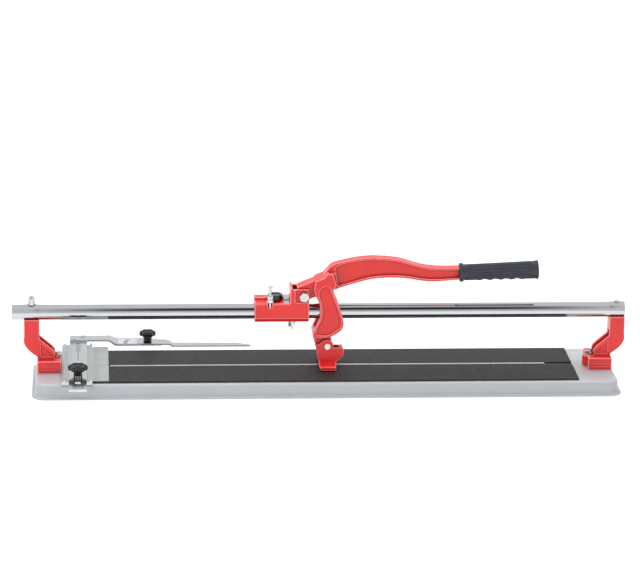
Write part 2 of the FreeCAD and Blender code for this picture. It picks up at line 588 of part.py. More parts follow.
# ------------------------------------------------------------------- lever casting
def at_rail(points):
    """Points given from the rail's axis, moved up to the rail."""
    return [(a, RAIL + b) for a, b in points]


arch_top = at_rail([(-4, 56.5), (0.1, 65), (6, 72.2), (19.8, 77.6), (38.8, 81.9), (64.7, 84.9),
                    (90.9, 84), (111.4, 81), (133.3, 74.3), (150.9, 70.3), (168.3, 68.5),
                    (185.8, 68.1), (200, 68.7)])
arch_low = at_rail([(200, 49.3), (184.6, 48.3), (167.2, 47), (149.8, 47.4), (132.3, 50.1),
                    (115, 52.6), (98.7, 53.2), (81.3, 52.7), (64, 50.4), (46.9, 46),
                    (29.6, 40.8), (10.6, 35.6)])
arch = profile("arch", "XZ_Plane", [arch_top, [arch_top[-1], arch_low[0]], arch_low,
                                    [arch_low[-1], arch_top[0]]], "arch_width")
inset_top = at_rail([(13, 69), (20, 73.2), (38.8, 77.9), (64.7, 81), (90.9, 80.1),
                     (111.4, 77), (133.3, 70.3), (150.9, 66.3), (168.3, 64.6), (204, 64.4)])
inset_low = at_rail([(204, 52.8), (167.2, 51.1), (149.8, 51.5), (132.3, 54.2), (115, 56.7),
                     (98.7, 57.3), (81.3, 56.8), (64, 54.6), (46.9, 50.1), (29.6, 44.9),
                     (17, 42)])
arch_hollow = profile("arch_hollow", "XZ_Plane",
                      [inset_top, [inset_top[-1], inset_low[0]], inset_low,
                       [inset_low[-1], inset_top[0]]], "arch_width + 10")
arch_core = box("arch_core", "400", "web_thick", "200", "-100", "-web_thick / 2",
                "rail_height - 60")
arch_pockets = cut("arch_pockets", arch_hollow, arch_core)

hub_line = at_rail([(-45, 30), (-44.6, 39.5), (-43, 41), (-28.3, 47.2), (-4, 56.7), (1, 63),
                    (14, 62), (20, 38.2), (10.6, 35.6), (-10, 27), (-24, 22), (-34, 15.8),
                    (-42, 19)])
hub = profile("hub", "XZ_Plane", polygon(hub_line), "hub_width")
hub_eye = rod("hub_eye", "10.8", "hub_width", "pivot_x", "-hub_width / 2", PIVOT_Z, "y")
top_arm_line = at_rail([(-20, 38), (-17.5, 51.2), (-4, 56.7), (1, 63.5), (9, 62), (14, 45),
                        (9.3, 36.1), (6, 26), (-16, 26)])
shoulder = profile("shoulder", "XZ_Plane", polygon(top_arm_line), "fork_width")

leg_right = at_rail([(6.9, -35.8), (14, -31.6), (20.7, -27.1), (25, -20.6), (25.9, -13.4),
                     (22.5, 0.1), (18.6, 12.1), (13.7, 24.1), (9.3, 36.1)])
leg_left = at_rail([(-18, 33), (-17.1, 28.3), (-12.3, 18.7), (-9.9, 8.2), (-9.8, 0.3),
                    (-11.9, -10.1), (-17.1, -22.1), (-21, -30.9)])
leg_parts = [leg_right, [leg_right[-1], leg_left[0]], leg_left,
             [leg_left[-1], at_rail([(-20, -37)])[0]],
             at_rail([(-20, -37), (-4, -37.5)]), [at_rail([(-4, -37.5)])[0], leg_right[0]]]
tines = profile("tines", "XZ_Plane", leg_parts, "fork_width")
rail_gap_line = at_rail([(-60, 24.5), (60, 24.5), (60, -52), (24, -52), (7, -33.5),
                         (-11, -25.2), (-60, -24.4)])
rail_gap = profile("rail_gap", "XZ_Plane", polygon(rail_gap_line), "fork_gap")
leg_hollow_line = [at_rail([(-9.5, 38), (-6.2, 41.5), (-1, 42.5), (3.5, 40.5), (5, 37.5)]),
                   at_rail([(5, 37.5), (9.8, 24), (14.8, 12), (18.7, 0), (21.7, -13),
                            (20.8, -19.3), (17.8, -23.4)]),
                   at_rail([(17.8, -23.4), (11.4, -27.6), (5, -31.4), (-3.5, -33)]),
                   at_rail([(-3.5, -33), (-15.8, -32.4)]),
                   at_rail([(-15.8, -32.4), (-13, -22.3), (-8, -10.6), (-5.7, 0.2),
                            (-5.8, 8.6), (-8.3, 19.6), (-11.6, 29), (-9.5, 38)])]
leg_hollow = profile("leg_hollow", "XZ_Plane", leg_hollow_line, "fork_width + 10")
leg_core = box("leg_core", "200", "fork_width - 4.4", "200", "-100", "-(fork_width - 4.4) / 2",
               "rail_height - 80")
leg_pockets = cut("leg_pockets", leg_hollow, leg_core)
tip_line = at_rail([(-20.5, -30), (-11, -27.5), (6, -35), (8, -41), (8.6, -50.9), (7, -62),
                    (5, -72), (-5, -72), (-11, -62), (-16.4, -49), (-20, -38)])
leg_tip = profile("leg_tip", "XZ_Plane", polygon(tip_line), "tip_width")
tang = rod("tang", "tang_dia / 2", "118", "grip_start - 10", "0", "rail_height + 59.3", "x")
tang.Placement = Placement(Vector(190, 0, RAIL + 58.6),
                           Rotation(Vector(0, 1, 0), 90 - 2.0))
tang.setExpression("Placement.Base.x", None)
tang.setExpression("Placement.Base.z", None)
tang.setExpression("Placement.Base.y", None)
WHEEL_Z = "rail_height + wheel_z"
wheel_slot = box("wheel_slot", "60", "wheel_thick + 0.8", "13.5", "-30",
                 "-(wheel_thick + 0.8) / 2", "rail_height - 72.5")
wheel_top = rod("wheel_top", "wheel_dia / 2 + 1", "wheel_thick + 0.8", "0",
                "-(wheel_thick + 0.8) / 2", WHEEL_Z, "y")
wheel_bore = rod("wheel_axle_bore", "wheel_bore / 2", "40", "0", "-20", WHEEL_Z, "y")
pin_bore = rod("foot_pin_bore", "foot_pin_dia / 2", "60", "foot_pin_x", "-30",
               "rail_height + foot_pin_z", "y")
pivot_run = rod("pivot_run", "pivot_dia / 2 + 0.06", "60", "pivot_x", "-30", PIVOT_Z, "y")
ear_room = box("ear_room", "40", "60", "30", "-62", "-30", "rail_height + 12")
ear_keep = box("ear_keep", "60", "hub_width", "60", "-70", "-hub_width / 2", "rail_height")
ear_cut = cut("ear_cut", ear_room, ear_keep)
tine_set = cut("tine_set", tines, rail_gap)
fork = join("fork", [shoulder, tine_set, leg_tip, hub, hub_eye, arch, tang])
lever = cut("lever_cut", fork, [arch_pockets, leg_pockets, wheel_slot, wheel_top, wheel_bore,
                                pin_bore, pivot_run, ear_cut])
named(lever, "lever")

# ribbed grip pushed over the tang
GRIP_TILT = 2.0
grip_length = size("grip_end") - size("grip_start")
tilt = Placement(Vector(size("grip_start"), 0,
                        RAIL + 58.6 + (size("grip_start") - 190)
                        * math.tan(math.radians(GRIP_TILT))),
                 Rotation(Vector(0, 1, 0), 90 - GRIP_TILT))
grip_line = [(6, 0), (14.4, 0), (14.4, 8), (12.6, 9.5), (12.4, 20), (12.9, 31), (12.2, 44),
             (13.2, 52), (12.6, 62), (13.3, 72), (13, 84), (13.7, 96), (13.6, 112),
             (14.6, 113.5), (14.6, grip_length - 1.5), (13.4, grip_length), (0, grip_length),
             (0, 109.5), (6, 109.5)]
grip_body = doc.addObject("PartDesign::Body", "grip_body")
grip_sketch = grip_body.newObject("Sketcher::SketchObject", "grip_outline")
grip_plane = [f for f in grip_body.Origin.OriginFeatures if f.Role == "XZ_Plane"][0]
grip_sketch.AttachmentSupport = [(grip_plane, "")]
grip_sketch.MapMode = "FlatFace"
for edge in outline(polygon(grip_line)):
    grip_sketch.addGeometry(edge, False)
grip_turn = grip_body.newObject("PartDesign::Revolution", "grip_turn")
grip_turn.Profile = grip_sketch
grip_turn.ReferenceAxis = (grip_sketch, ["V_Axis"])
grip_turn.Angle = 360
grip_body.Placement = tilt
grip_bore = doc.addObject("Part::Cylinder", "grip_bore")
grip_bore.Placement = tilt
bind(grip_bore, Radius="tang_dia / 2", Height="108.5")
grip_bore.setExpression("Placement.Base.x", None)
named(cut("grip_cut", grip_body, grip_bore), "grip")

# -------------------------------------------------------- breaking foot and the wheel
PIN_Z = "rail_height + foot_pin_z"
shoe_side = at_rail([(-16.5, -49.5), (-9, -46.5), (-6.5, -44), (-3, -41.6), (1.9, -40.6),
                     (6.8, -41.9), (9.8, -45), (11, -53.4), (25.4, -53.4), (26.4, -57),
                     (26.8, -61), (25.8, -65), (23.4, -69), (19.6, -71.8), (14.9, -73.2),
                     (14.3, -76), (14.3, -83), (-6.4, -83), (-8.6, -82), (-10.5, -80.2),
                     (-10.8, -75.7)])
shoe_view = profile("shoe_view", "XZ_Plane", polygon(shoe_side), "shoe_width")
wide = size("shoe_width") / 2
cheek = size("shoe_cheek") / 2
shoe_cross = [(-cheek, RAIL - 38), (-cheek, RAIL - 71.6), (-wide + 3, RAIL - 76.4),
              (-wide, RAIL - 78), (-wide, RAIL - 84), (wide, RAIL - 84), (wide, RAIL - 78),
              (wide - 3, RAIL - 76.4), (cheek, RAIL - 71.6), (cheek, RAIL - 38)]
shoe_end = profile("shoe_end", "YZ_Plane", polygon(shoe_cross), "200")
shoe_room = box("shoe_room", "30 + 12.6", "shoe_gap", "80", "-30", "-shoe_gap / 2",
                "rail_height - 100")
shoe_pocket = box("shoe_pocket", "10", "shoe_cheek - 7", "12", "10.5",
                  "-shoe_cheek / 2 + 3.5", "rail_height - 64")
shoe_back = box("shoe_back", "20", "40", "12", "10.9", "0.5", "rail_height - 58")
shoe_bore = rod("shoe_bore", "foot_pin_dia / 2 + 0.06", "80", "foot_pin_x", "-40", PIN_Z, "y")
shoe = cut("shoe_cut", common("shoe_all", shoe_view, shoe_end),
           [shoe_room, shoe_pocket, shoe_back, shoe_bore])
named(shoe, "breaker_foot")

pin_rod = rod("pin_rod", "foot_pin_dia / 2", "shoe_cheek + 4.6", "foot_pin_x",
              "-shoe_cheek / 2 - 0.3", PIN_Z, "y")
pin_head = rod("pin_head", "4.7", "2", "foot_pin_x", "-shoe_cheek / 2 - 2.3", PIN_Z, "y")
pin_groove = rod("pin_groove_ring", "foot_pin_dia / 2 + 1", "1", "foot_pin_x",
                 "shoe_cheek / 2 + 0.3", PIN_Z, "y")
pin_groove_core = rod("pin_groove_core", "foot_pin_dia / 2 - 0.6", "3", "foot_pin_x",
                      "shoe_cheek / 2 - 1", PIN_Z, "y")
pin = cut("pin_cut", join("pin_all", [pin_rod, pin_head]),
          cut("pin_groove", pin_groove, pin_groove_core))
named(pin, "foot_pin")
clip_ring = rod("clip_ring", "foot_pin_dia / 2 + 2.2", "1", "foot_pin_x",
                "shoe_cheek / 2 + 0.3", PIN_Z, "y")
clip_hole = rod("clip_hole", "foot_pin_dia / 2 - 0.6", "4", "foot_pin_x",
                "shoe_cheek / 2 - 1", PIN_Z, "y")
clip_mouth = box("clip_mouth", "3.4", "4", "10", "foot_pin_x - 1.7", "shoe_cheek / 2 - 1",
                 "rail_height + foot_pin_z - 10")
named(cut("clip_cut", clip_ring, [clip_hole, clip_mouth]), "pin_clip")

disc_plate = rod("wheel_plate", "wheel_dia / 2 - 1.6", "wheel_thick", "0", "-wheel_thick / 2",
                 WHEEL_Z, "y")
edges = []
for n, (start, lean) in enumerate((("-wheel_thick / 2", 1), ("0", -1))):
    cone = doc.addObject("Part::Cone", "wheel_edge_%d" % n)
    cone.Placement = Placement(Vector(), Rotation(Vector(1, 0, 0), -90))
    wide_end, thin_end = "wheel_dia / 2", "wheel_dia / 2 - 1.6"
    bind(cone, Radius1=thin_end if lean > 0 else wide_end,
         Radius2=wide_end if lean > 0 else thin_end, Height="wheel_thick / 2", x="0",
         y=start, z=WHEEL_Z)
    edges.append(cone)
wheel_hole = rod("wheel_hole", "wheel_bore / 2 + 0.06", "20", "0", "-10", WHEEL_Z, "y")
named(cut("wheel_cut", join("wheel_all", [disc_plate] + edges), wheel_hole), "cutting_wheel")
named(rod("wheel_axle_rod", "wheel_bore / 2", "tip_width - 1", "0", "-(tip_width - 1) / 2",
          WHEEL_Z, "y"), "wheel_axle")

# ------------------------------------------------------------------ checks and export
PIECES = ["base_plate", "base_stiffener", "bench_strip", "rubber_feet", "front_pad", "back_pad",
          "breaking_rib", "guide_rail", "left_bracket", "right_bracket", "bracket_washers",
          "bracket_bolts", "bracket_nuts", "rail_caps", "rail_studs", "rail_cap_nut",
          "fence_guide", "scale_plate", "fence_bar", "fence_arm", "arm_rivets",
          "fence_stud", "pointer_arm",
          "fence_knob", "clamp_knob", "clamp_stud", "carriage_block", "slide_bushes",
          "tension_knob", "tension_stud", "pressure_pad", "adjusting_screw",
          "adjusting_nut", "lower_bolt",
          "lower_nut", "pivot_bolt", "pivot_nut", "lever", "grip", "foot_pin", "pin_clip",
          "breaker_foot", "wheel_axle", "cutting_wheel"]
doc.recompute()
for thing in doc.Objects:
    if "Invalid" in thing.State or "Error" in thing.State:
        raise RuntimeError("%s: %s" % (thing.Name, thing.State))
os.makedirs("parts", exist_ok=True)
for label in PIECES:
    piece = doc.getObjectsByLabel(label)[0]
    if piece.Shape.isNull() or not piece.Shape.isValid():
        raise RuntimeError(label + " has no sound shape")
    piece.Shape.exportStep("parts/%s.step" % label)
    print("%-16s %2d solid(s) %12.1f mm3" % (label, len(piece.Shape.Solids),
                                             piece.Shape.Volume))
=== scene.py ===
import json
import math

import bmesh
import bpy
from mathutils import Matrix, Vector


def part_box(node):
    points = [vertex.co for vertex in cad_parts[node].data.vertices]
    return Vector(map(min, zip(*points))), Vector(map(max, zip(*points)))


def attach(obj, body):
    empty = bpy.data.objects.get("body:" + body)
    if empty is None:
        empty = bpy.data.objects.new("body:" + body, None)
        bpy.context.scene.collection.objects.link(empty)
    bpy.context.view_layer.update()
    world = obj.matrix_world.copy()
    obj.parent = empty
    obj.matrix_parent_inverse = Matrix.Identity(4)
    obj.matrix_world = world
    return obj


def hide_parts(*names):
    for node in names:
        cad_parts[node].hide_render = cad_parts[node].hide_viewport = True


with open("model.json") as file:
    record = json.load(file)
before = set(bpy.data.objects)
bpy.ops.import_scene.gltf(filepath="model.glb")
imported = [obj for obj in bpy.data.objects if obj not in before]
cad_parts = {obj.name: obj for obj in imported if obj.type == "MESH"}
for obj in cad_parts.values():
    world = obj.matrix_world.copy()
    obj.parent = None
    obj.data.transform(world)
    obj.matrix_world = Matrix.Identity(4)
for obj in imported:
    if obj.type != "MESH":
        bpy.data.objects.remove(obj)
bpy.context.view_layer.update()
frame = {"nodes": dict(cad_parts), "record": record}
nodes = frame["nodes"]
MM = 0.001


# ------------------------------------------------------------------ material helpers
class Graph:
    """A node tree with short ways to add, join and vary its nodes."""

    def __init__(self, tree, coordinates):
        self.tree = tree
        self.where = self.add("ShaderNodeTexCoord").outputs[coordinates]

    def add(self, kind, **inputs):
        node = self.tree.nodes.new(kind)
        for key, value in inputs.items():
            node.inputs[key].default_value = value
        return node

    def link(self, start, end):
        self.tree.links.new(start, end)

    def ramp(self, value, stops):
        """A colour ramp over value; stops are (position, (r, g, b))."""
        ramp = self.add("ShaderNodeValToRGB")
        self.link(value, ramp.inputs["Fac"])
        elements = ramp.color_ramp.elements
        while len(elements) < len(stops):
            elements.new(0.5)
        for element, (place, colour) in zip(elements, stops):
            element.position = place
            element.color = (*colour, 1)
        return ramp.outputs["Color"]

    def mix(self, one, two, blend):
        node = self.add("ShaderNodeMix")
        node.data_type = "RGBA"
        node.blend_type = blend
        node.inputs["Factor"].default_value = 1.0
        self.link(one, node.inputs["A"])
        self.link(two, node.inputs["B"])
        return node.outputs["Result"]

    def rescale(self, value, start, end, low=0.0, high=1.0):
        """value between start and end, spread over low to high."""
        node = self.add("ShaderNodeMapRange")
        node.inputs["From Min"].default_value = start
        node.inputs["From Max"].default_value = end
        node.inputs["To Min"].default_value = low
        node.inputs["To Max"].default_value = high
        self.link(value, node.inputs["Value"])
        return node.outputs["Result"]


class Shader(Graph):
    """A material: a Principled shader with procedural variation."""

    def __init__(self, name):
        self.material = bpy.data.materials.new(name)
        self.material.use_nodes = True
        super().__init__(self.material.node_tree, "Object")
        self.shader = self.tree.nodes["Principled BSDF"]

    def noise(self, scale, detail=4.0, rough=0.55, stretch=(1, 1, 1)):
        """Noise in object coordinates, which stretch scales along each axis."""
        mapping = self.add("ShaderNodeMapping", Scale=stretch)
        self.link(self.where, mapping.inputs["Vector"])
        texture = self.add("ShaderNodeTexNoise", Scale=scale, Detail=detail, Roughness=rough)
        self.link(mapping.outputs["Vector"], texture.inputs["Vector"])
        return texture.outputs["Fac"]

    def colour(self, socket):
        self.link(socket, self.shader.inputs["Base Color"])

    def roughness(self, noise, rough):
        """Roughness between two limits; noise stays mostly between 0.3 and 0.7."""
        self.link(self.rescale(noise, 0.3, 0.7, *rough), self.shader.inputs["Roughness"])

    def bump(self, heights, strength, distance):
        """Bump from a height; several bumps chain."""
        node = self.add("ShaderNodeBump", Strength=strength, Distance=distance)
        self.link(heights, node.inputs["Height"])
        normal = self.shader.inputs["Normal"]
        if normal.is_linked:
            self.link(normal.links[0].from_socket, node.inputs["Normal"])
        self.link(node.outputs["Normal"], normal)

    def put(self, **sockets):
        """Constant sockets, named with underscores for spaces."""
        for key, value in sockets.items():
            self.shader.inputs[key.replace("_", " ")].default_value = value


def shade(colour, factor):
    return tuple(min(1.0, c * factor) for c in colour)


def tints(colour, low, high, darker, lighter):
    """Ramp stops: darker below the position low, lighter above high."""
    return [(low, shade(colour, 1 - darker)), (0.5, colour), (high, shade(colour, 1 + lighter))]


def with_painted_shade_and_highlight(s, coats):
    """Paint with painted shade, darker in corners, creases and hollows, and a painted highlight,
    paler along edges.
    """
    # painted shade: darker where the surface bends inward, in creases and corners
    bend = s.add("ShaderNodeNewGeometry").outputs["Pointiness"]
    painted_crease_shade = s.ramp(bend, [(0.44, (0.45, 0.32, 0.32)), (0.49, (0.88, 0.84, 0.84)),
                            (0.5, (1, 1, 1))])
    # painted shade: darker in hollows and recesses that ambient occlusion finds
    occlusion_for_painted_shade = s.add("ShaderNodeAmbientOcclusion", Distance=12 * MM)
    occlusion_for_painted_shade.samples = 8
    shadow = s.ramp(occlusion_for_painted_shade.outputs["AO"], [(0.25, (0.42, 0.32, 0.32)), (0.7, (0.92, 0.88, 0.88)),
                                         (0.98, (1, 1, 1))])
    coats_with_painted_shade = s.mix(s.mix(coats, painted_crease_shade, "MULTIPLY"), shadow, "MULTIPLY")
    # painted highlight: paler along convex edges
    painted_edge_highlight = s.ramp(bend, [(0.503, (0, 0, 0)), (0.53, (0.2, 0.2, 0.2))])
    return s.mix(coats_with_painted_shade, painted_edge_highlight, "ADD")


def paint(name, colour, rough, coat, variation=0.07, painted_light=False):
    """Powder coat: slight cloudiness, orange peel and a clear gloss."""
    peel = 0.12
    s = Shader(name)
    cloud = s.noise(26, detail=6)
    coats = s.ramp(cloud, tints(colour, 0.3, 0.72, variation, variation))
    # painted_light adds painted shade in hollows and a painted highlight along edges
    s.colour(with_painted_shade_and_highlight(s, coats) if painted_light else coats)
    s.roughness(s.noise(70, detail=5), rough)
    s.bump(s.noise(900, detail=2), peel, 0.4 * MM)
    s.bump(s.noise(110, detail=3), peel * 0.6, 0.8 * MM)
    s.put(Coat_Weight=coat, Coat_Roughness=0.12, IOR=1.5)
    return s.material


def metal(name, colour, rough, grain=(1, 1, 1), depth=0.1, variation=0.06):
    """Bare or plated metal with a grain that may run one way, and dull patches."""
    s = Shader(name)
    patches = s.noise(35, detail=7, rough=0.6)
    s.colour(s.ramp(patches, tints(colour, 0.25, 0.75, 2 * variation, variation)))
    lines = s.noise(300, detail=3, stretch=grain)
    s.roughness(lines, rough)
    s.bump(lines, depth, 0.2 * MM)
    s.put(Metallic=1.0)
    return s.material


def rubber(name, colour, rough=(0.55, 0.72), speckle=0.25, depth=0.25, scale=420, coat=0.0):
    """Moulded rubber or plastic, or ink: mottled and finely pitted."""
    s = Shader(name)
    mottle = s.noise(60, detail=8, rough=0.7)
    s.colour(s.ramp(mottle, tints(colour, 0.3, 0.75, speckle, speckle)))
    pits = s.noise(scale, detail=4, rough=0.7)
    s.roughness(pits, rough)
    s.bump(pits, depth, 0.5 * MM)
    s.put(IOR=1.5, Coat_Weight=coat, Coat_Roughness=0.08)
    return s.material


RED = (0.635, 0.013, 0.011)
GREY = (0.365, 0.38, 0.40)
STEEL = (0.64, 0.66, 0.68)
# a metal's grain runs along the axis whose scale is small
ALONG_X = (0.05, 1, 1)
ALONG_Y = (1, 0.05, 1)
materials = {
    # the red paint carries painted shade in hollows and a painted highlight along edges
    "red_paint": paint("red_paint", RED, rough=(0.3, 0.42), coat=0.25, painted_light=True),
    "grey_paint": paint("grey_paint", GREY, rough=(0.34, 0.46), coat=0.15, variation=0.03),
    "foot_rubber": rubber("foot_rubber", (0.03, 0.03, 0.03)),
    "pad_rubber": rubber("pad_rubber", (0.016, 0.0152, 0.0156), speckle=0.3, scale=260),
    "steel": metal("steel", STEEL, rough=(0.12, 0.22), grain=ALONG_Y, depth=0.05),
    "arm_steel": metal("arm_steel", STEEL, rough=(0.18, 0.3), grain=ALONG_X),
    "zinc": metal("zinc", (0.64, 0.65, 0.65), rough=(0.16, 0.32)),
    "chrome": metal("chrome", (0.58, 0.59, 0.615), rough=(0.05, 0.09), grain=(0.02, 1, 1),
                    depth=0.02, variation=0.02),
    "aluminium": metal("aluminium", (0.60, 0.625, 0.63), rough=(0.28, 0.4), grain=ALONG_Y),
    "black_plastic": rubber("black_plastic", (0.005, 0.0055, 0.0065), rough=(0.18, 0.3),
                            speckle=0.15, depth=0.12, scale=700, coat=0.15),
    "nylon": rubber("nylon", (0.60, 0.58, 0.50), rough=(0.35, 0.5), speckle=0.05, depth=0.05),
    "grip_rubber": rubber("grip_rubber", (0.018, 0.022, 0.030), rough=(0.3, 0.45),
                          depth=0.2, scale=600, coat=0.15),
    "carbide": metal("carbide", (0.30, 0.30, 0.32), rough=(0.15, 0.25)),
    "ink": rubber("ink", (0.05, 0.06, 0.10), rough=(0.5, 0.6), speckle=0.1, depth=0.02),
    "pale_label": rubber("pale_label", (0.42, 0.43, 0.46), rough=(0.4, 0.5), speckle=0.02,
                         depth=0.02),
}


# -------------------------------------------------------------------- finish CAD nodes
def dress(name, material):
    mesh = nodes[name].data
    mesh.materials.clear()
    mesh.materials.append(materials[material])


def weld(piece):
    joiner = piece.modifiers.new("weld", "WELD")
    joiner.merge_threshold = 0.002 * MM


def crisp(piece, width):
    """Small rounded edges on a machined or folded piece."""
    weld(piece)
    bevel = piece.modifiers.new("edges", "BEVEL")
    bevel.width = width
    bevel.segments = 2
    bevel.limit_method = "ANGLE"
    bevel.angle_limit = math.radians(32)
    bevel.use_clamp_overlap = True
    piece.modifiers.new("even", "WEIGHTED_NORMAL").keep_sharp = False


def cast(piece, voxel, rounds):
    """Soft rounded edges and corners of a casting."""
    weld(piece)
    remesh = piece.modifiers.new("skin", "REMESH")
    remesh.mode = "VOXEL"
    remesh.voxel_size = voxel
    remesh.use_smooth_shade = True
    smooth = piece.modifiers.new("soft", "SMOOTH")
    smooth.factor = 0.5
    smooth.iterations = rounds


slots = {s["node"]: s["material_slot"] for s in frame["record"]["subparts"]}
# steel plates whose grain runs along X
LONG_GRAIN = {"fence_arm": "arm_steel", "pointer_arm": "arm_steel", "breaking_rib": "arm_steel"}
for name in nodes:
    dress(name, LONG_GRAIN.get(name, slots[name]))

# voxel size and rounds of smoothing
CASTINGS = {"lever": (0.8 * MM, 5), "left_bracket": (0.6 * MM, 5),
            "right_bracket": (0.6 * MM, 5), "breaker_foot": (0.5 * MM, 4),
            "carriage_block": (0.7 * MM, 2)}
REBUILT = ("base_plate", "clamp_knob", "fence_knob", "grip")
MOULDED = ("front_pad", "back_pad", "tension_knob")
for name, (voxel, rounds) in CASTINGS.items():
    cast(nodes[name], voxel, rounds)
for name in nodes:
    if name not in CASTINGS and name not in REBUILT:
        crisp(nodes[name], 0.9 * MM if name in MOULDED else 0.3 * MM)


# ------------------------------------------------------------------- mesh construction
def new_piece(name, mesh_data, material, body, stands_for=(), smooth=True):
    mesh = bpy.data.meshes.new(name)
    mesh_data.to_mesh(mesh)
    mesh_data.free()
    piece = bpy.data.objects.new(name, mesh)
    bpy.context.scene.collection.objects.link(piece)
    mesh.materials.append(materials[material])
    for face in mesh.polygons:
        face.use_smooth = smooth
    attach(piece, body)
    for node in stands_for:
        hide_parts(node)
    return piece


def skin(rings):
    """A closed surface over rings of points that all have the same count."""
    mesh = bmesh.new()
    made = [[mesh.verts.new(p) for p in ring] for ring in rings]
    count = len(rings[0])
    for one, two in zip(made, made[1:]):
        for i in range(count):
            j = (i + 1) % count
            mesh.faces.new((one[i], one[j], two[j], two[i]))
    mesh.faces.new(list(reversed(made[0])))
    mesh.faces.new(made[-1])
    mesh.normal_update()
    bmesh.ops.recalc_face_normals(mesh, faces=mesh.faces)
    return mesh


def plan_ring(half_x, half_y, radius, z, per_corner=10):
    """A rounded rectangle at height z."""
    points = []
    for n, (sx, sy) in enumerate(((1, 1), (-1, 1), (-1, -1), (1, -1))):
        for i in range(per_corner + 1):
            angle = math.pi / 2 * (n + i / per_corner)
            points.append((sx * (half_x - radius) + radius * math.cos(angle),
                           sy * (half_y - radius) + radius * math.sin(angle), z))
    return points


def arc_steps(centre_in, centre_z, radius, start, end, steps):
    """Points of an arc in the base's edge, as (inset from the outer rim, height)."""
    turns = [math.radians(start + (end - start) * i / steps) for i in range(steps + 1)]
    return [(centre_in + radius * math.cos(a), centre_z + radius * math.sin(a)) for a in turns]


# ------------------------------------------------------------------------ pressed base
low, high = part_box("base_plate")
half_x, half_y = high.x, high.y
top = high.z
THICK = 1.8 * MM
LIP = 6 * MM            # from the outer rim in to the skirt
LEAN = 0.6 * MM         # how far the skirt leans out of that line
ROLLED = 1.3 * MM       # radius of the rolled rim
FLARE = 4.4 * MM        # radius between the rim and the skirt
SHOULDER = 4.6 * MM     # radius between the skirt and the top
CORNER = 20 * MM        # radius of the corners in plan, at the rim
CORNER_LEAST = 6 * MM

outside = (arc_steps(ROLLED, ROLLED, ROLLED, 270, 90, 6)
           + arc_steps(ROLLED, 2 * ROLLED + FLARE, FLARE, 270, 360, 6)[1:]
           + arc_steps(LIP - LEAN + SHOULDER, top - SHOULDER, SHOULDER, 180, 90, 8))
inside = [(LIP + 5 * MM, top - THICK), (LIP + THICK, top - 6 * MM), (LIP + THICK, 3 * MM),
          (LIP - LEAN + THICK, 0.2 * MM)]
rings = [plan_ring(half_x - inset, half_y - inset, max(CORNER - inset * 0.4, CORNER_LEAST), z)
         for inset, z in inside + outside]
base = new_piece("base_pressing", skin(rings), "grey_paint", "frame", ["base_plate"])
base.modifiers.new("even", "WEIGHTED_NORMAL").keep_sharp = False

# ------------------------------------------------------------------------------ knobs
LOBES = 6
LOBE_STEPS = 16
LOBE_DEPTH = 0.23
# from the underside of the head to the middle of its dish, as shares of the radius, of the
# head's height and of the depth of the lobes
KNOB_HEAD = [(0.66, 0, 0.4), (0.88, 0.05, 0.8), (0.95, 0.14, 1), (0.98, 0.3, 1), (1, 0.55, 1),
             (0.98, 0.8, 1), (0.92, 0.93, 0.95), (0.84, 1, 0.85), (0.76, 0.97, 0.7),
             (0.68, 0.78, 0.4), (0.55, 0.7, 0), (0.34, 0.7, 0), (0.26, 0.9, 0), (0.05, 0.95, 0)]


def knob(name, node, head, stem, body):
    """A clamping knob: a stem of radius stem under a lobed head of height head."""
    low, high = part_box(node)
    centre = (low + high) / 2
    radius = (high.x - low.x) / 2
    rim = high.z - head
    stem_height = rim - low.z
    shape = [(stem, low.z, 0), (stem, low.z + stem_height * 0.5, 0),
             (stem * 1.08, low.z + stem_height * 0.85, 0.1)]
    shape += [(radius * out, rim + head * rise, wave) for out, rise, wave in KNOB_HEAD]
    steps = LOBES * LOBE_STEPS
    rings = []
    for r, z, wave in shape:
        ring = []
        for i in range(steps):
            angle = 2 * math.pi * i / steps
            dip = 0.5 - 0.5 * math.cos(LOBES * angle)
            reach = r * (1 - LOBE_DEPTH * wave * dip ** 1.5)
            ring.append((centre.x + reach * math.cos(angle),
                         centre.y + reach * math.sin(angle), z))
        rings.append(ring)
    return new_piece(name, skin(rings), "black_plastic", body, [node])


knob("bar_knob_head", "clamp_knob", 8.2 * MM, 6.4 * MM, "bar_knob")
knob("pointer_knob_head", "fence_knob", 8.0 * MM, 6.3 * MM, "pointer_knob")

# --------------------------------------------------------------- grip, in millimetres
GRIP_LENGTH = 120
GRIP_TILT = math.radians(2.0)
# (distance along the grip, radius)
GRIP_PROFILE = [(0, 13.2), (0.8, 14.3), (5, 14.4), (6, 13.6), (7, 12.3), (20, 12.4), (60, 12.8),
                (104, 13.5), (115, 13.6), (116.4, 13.9), (117.2, 14.6), (118.8, 14.6),
                (119.6, 14.2), (GRIP_LENGTH, 13.4)]
WAVES = (22, 104)           # where the finger waves start and end
WAVE_PITCH = 16.4
WAVE_DEPTH = 1.9
FLUTED = (9, 112)           # where the flutes start and end
FLUTES = 16
FLUTE_DEPTH = 1.1
AROUND = 144


def between(t, span, run_out):
    """1 inside a span of the grip, falling to 0 over run_out at its ends."""
    first, last = span
    return max(0.0, min(1.0, (t - first) / run_out, (last - t) / run_out))


def grip_radius(t, angle):
    """Radius at distance t along the grip; angle 0 is +Y and 90 degrees is up."""
    for (t0, r0), (t1, r1) in zip(GRIP_PROFILE, GRIP_PROFILE[1:]):
        if t0 <= t <= t1:
            plain = r0 + (r1 - r0) * (t - t0) / (t1 - t0)
            break
    under = max(0.0, -math.sin(angle)) ** 2
    wave = 0.5 - 0.5 * math.cos(2 * math.pi * (t - WAVES[0]) / WAVE_PITCH) - 0.6
    flute = (0.5 - 0.5 * math.cos(FLUTES * angle)) ** 3
    return (plain + between(t, WAVES, 8) * under * WAVE_DEPTH * wave
            - between(t, FLUTED, 3) * FLUTE_DEPTH * flute)


